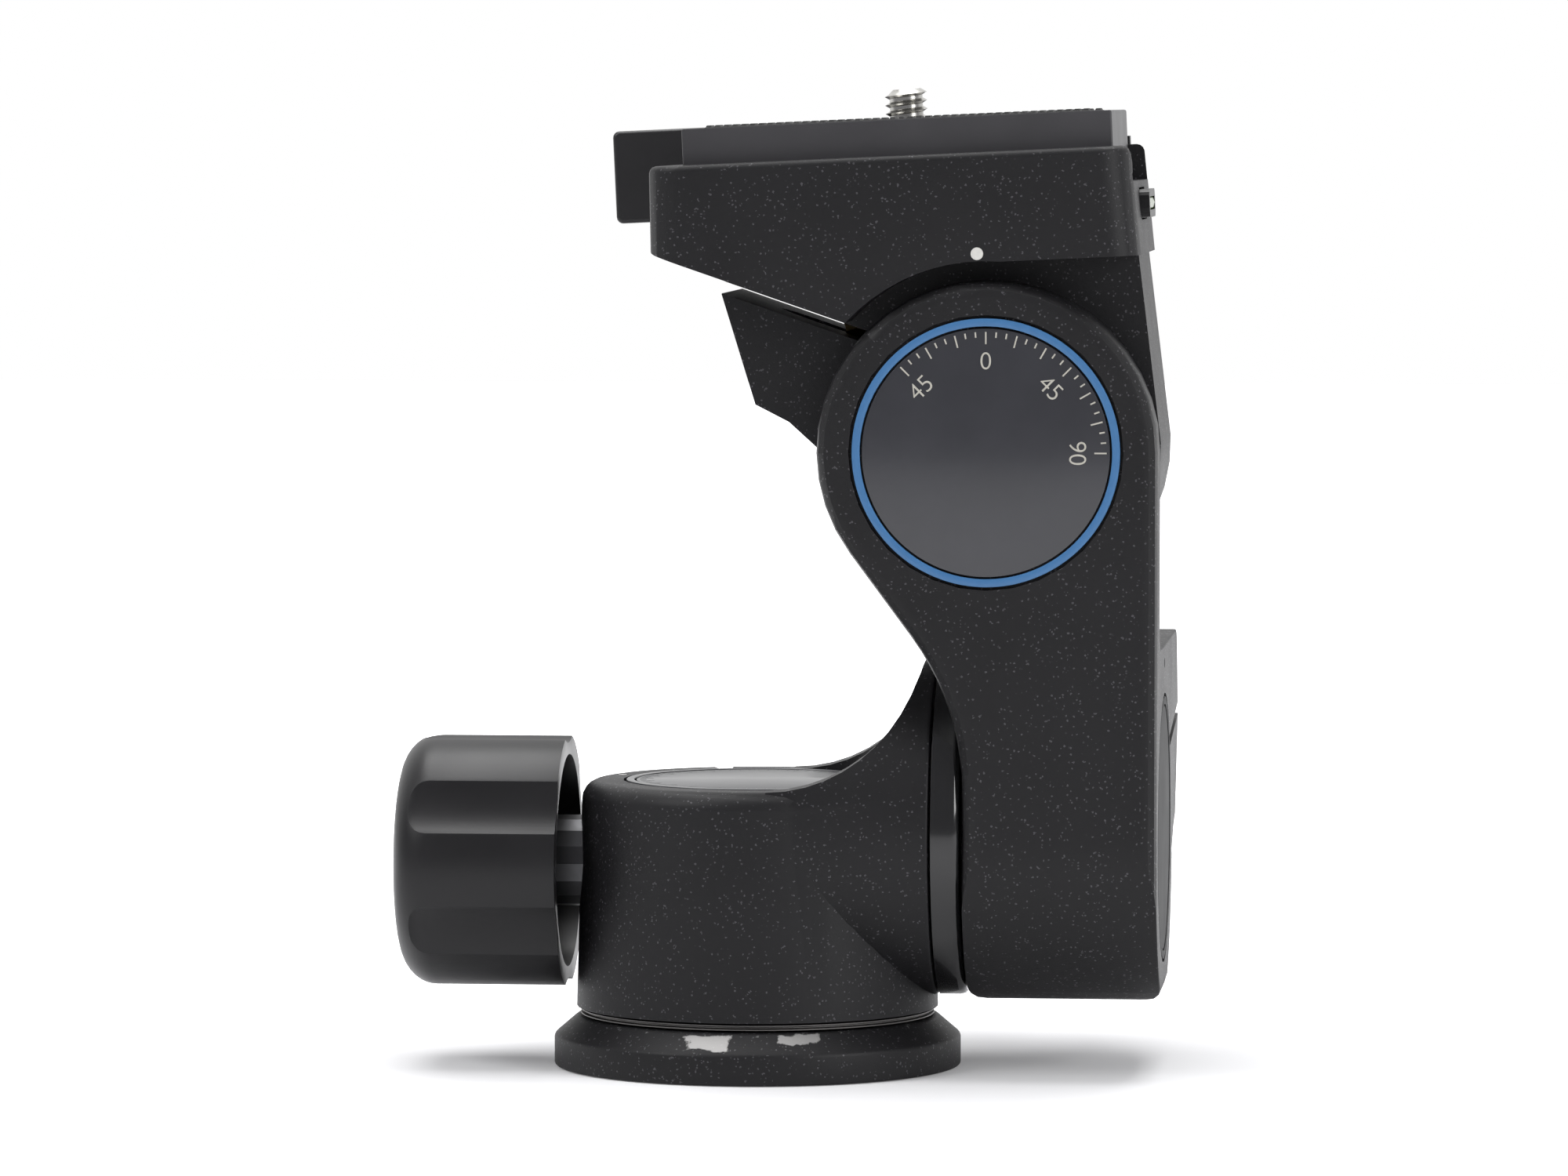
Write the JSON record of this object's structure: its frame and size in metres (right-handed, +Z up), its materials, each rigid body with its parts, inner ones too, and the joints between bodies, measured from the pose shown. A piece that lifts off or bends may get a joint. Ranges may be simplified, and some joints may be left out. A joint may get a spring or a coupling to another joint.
{
  "type": "three-way tripod head",
  "caption": "Three-way pan and tilt tripod head with a pan lock knob, two split tilt clamps, scale dials and a quick-release camera plate.",
  "frame": {"origin": "on the pan axis at the underside of the base, in the mouth of the tripod socket", "axes": "+Z up along the pan axis, +X towards the upright along the lateral tilt axis, -Y towards the large front dial; the platform stands 2.6 degrees off level about Y, as pictured"},
  "size_m": [0.1161, 0.0748, 0.147],
  "materials": {
    "casting_paint": "black textured paint with a fine sparkle on a light-metal casting",
    "gloss_black": "gloss black anodised",
    "drum_metal": "turned light metal",
    "jaw_metal": "machined light metal",
    "black_metal": "satin black coated metal",
    "plate_metal": "satin black anodised",
    "black_plastic": "satin black moulded plastic",
    "liner_plastic": "pale low-friction plastic",
    "bright_steel": "bright turned steel",
    "dark_steel": "blackened steel",
    "brass": "turned brass",
    "black_rubber": "ribbed matt black rubber",
    "dial_black": "glossy black printed dial with pale marks and plain numbers",
    "dial_grey": "dark grey printed dial",
    "ring_blue": "blue anodised trim ring",
    "ring_black": "black trim ring",
    "vial_glass": "clear tube of yellow-green fluid"
  },
  "bodies": {
    "base": {"base_flange": "casting_paint", "tripod_bush": "bright_steel", "pan_spindle": "bright_steel", "pan_bearing_ring": "bright_steel", "pan_retaining_ring": "dark_steel", "pan_retaining_nut": "dark_steel", "pan_scale_disc": "dial_grey", "pan_scale_ring": "ring_black"},
    "pan_housing": {"pan_body": "casting_paint", "side_tilt_drum": "gloss_black", "side_drum_screw_1": "dark_steel", "side_drum_screw_2": "dark_steel", "side_drum_screw_3": "dark_steel", "side_drum_screw_4": "dark_steel", "side_end_washer": "dark_steel", "side_end_screw": "bright_steel", "side_scale_disc": "dial_black", "side_scale_ring": "ring_blue"},
    "brake_shoe": {"pan_brake_shoe": "brass"},
    "lock_knob": {"pan_knob": "black_plastic", "pan_lock_screw": "black_metal"},
    "upright": {"upright_body": "casting_paint", "side_liner": "liner_plastic", "side_handle_insert": "brass", "tilt_drum": "drum_metal", "tilt_drum_screw_1": "dark_steel", "tilt_drum_screw_2": "dark_steel", "tilt_drum_screw_3": "dark_steel", "tilt_end_washer": "black_metal", "tilt_end_screw": "bright_steel", "tilt_scale_disc": "dial_black", "tilt_scale_ring": "ring_blue"},
    "platform": {"platform_body": "casting_paint", "tilt_liner": "liner_plastic", "tilt_handle_insert": "brass", "level_bezel": "black_plastic", "level_vial": "vial_glass", "lever_pivot_pin": "bright_steel"},
    "lever": {"qr_lever": "black_metal"},
    "jaw": {"clamp_jaw": "jaw_metal"},
    "plate": {"qr_plate": "plate_metal", "plate_pad_near": "black_rubber", "plate_pad_far": "black_rubber"},
    "camera_bolt": {"camera_screw": "bright_steel", "camera_screw_washer": "dark_steel"}
  },
  "joints": [
    {"name": "pan", "type": "hinge", "parent": "base", "child": "pan_housing", "pos_m": [0, 0, 0], "axis": [0, 0, 1], "continuous": true},
    {"name": "side_tilt", "type": "hinge", "parent": "pan_housing", "child": "upright", "pos_m": [0, 0, 0.0362], "axis": [1, 0, 0], "range_deg": [-45, 90]},
    {"name": "front_tilt", "type": "hinge", "parent": "upright", "child": "platform", "pos_m": [0.0362, 0, 0.0935], "axis": [0, 1, 0], "range_deg": [-42.4, 92.6]},
    {"name": "lock_travel", "type": "slide", "parent": "pan_housing", "child": "brake_shoe", "axis": [-1, 0, 0], "range_m": [0, 0.00065]},
    {"name": "lock_turn", "type": "hinge", "parent": "brake_shoe", "child": "lock_knob", "pos_m": [0, 0, 0.0305], "axis": [-1, 0, 0], "range_deg": [0, 180]},
    {"name": "lever_turn", "type": "hinge", "parent": "platform", "child": "lever", "pos_m": [0.05118, 0.02865, 0.09418], "axis": [0.0454, 0, -0.999], "range_deg": [0, 75]},
    {"name": "jaw_slide", "type": "slide", "parent": "platform", "child": "jaw", "axis": [0, 1, 0], "range_m": [0, 0.00125]},
    {"name": "plate_slide", "type": "slide", "parent": "platform", "child": "plate", "axis": [0.999, 0, 0.0454], "range_m": [0, 0.07]},
    {"name": "camera_screw_turn", "type": "hinge", "parent": "plate", "child": "camera_bolt", "pos_m": [0.02476, 0, 0.09298], "axis": [-0.0454, 0, 0.999], "continuous": true}
  ],
  "couplings": [
    {"joint": "lock_travel", "follows": "lock_turn", "m_per_rad": 0.000199},
    {"joint": "jaw_slide", "follows": "lever_turn", "m_per_rad": 0.0009167}
  ]
}
